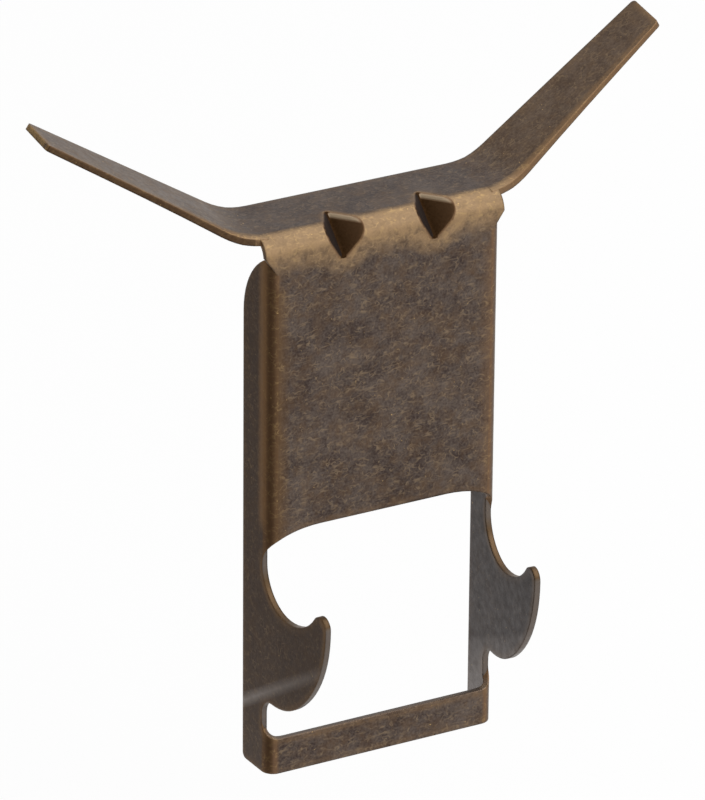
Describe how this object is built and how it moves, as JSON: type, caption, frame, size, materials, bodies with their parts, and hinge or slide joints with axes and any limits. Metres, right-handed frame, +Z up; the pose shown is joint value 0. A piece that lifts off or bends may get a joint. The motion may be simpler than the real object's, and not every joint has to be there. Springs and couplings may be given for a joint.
{
  "type": "brick clip",
  "caption": "Folded spring-steel clip that grips the face of a wall brick, with sprung arms at the top, side flanges, a window and forward hooks to hang things from.",
  "frame": {"origin": "middle of the brick's top front edge, on the underside of the top flange", "axes": "+X along the wall to the right as seen from the front, +Y into the wall, +Z up"},
  "size_m": [0.066, 0.0211, 0.0698],
  "materials": {
    "antique_brass": "antique brass plate, dark patina rubbed bright on bends and edges"
  },
  "bodies": {
    "root": {"brick_clip": "antique_brass"}
  },
  "joints": []
}
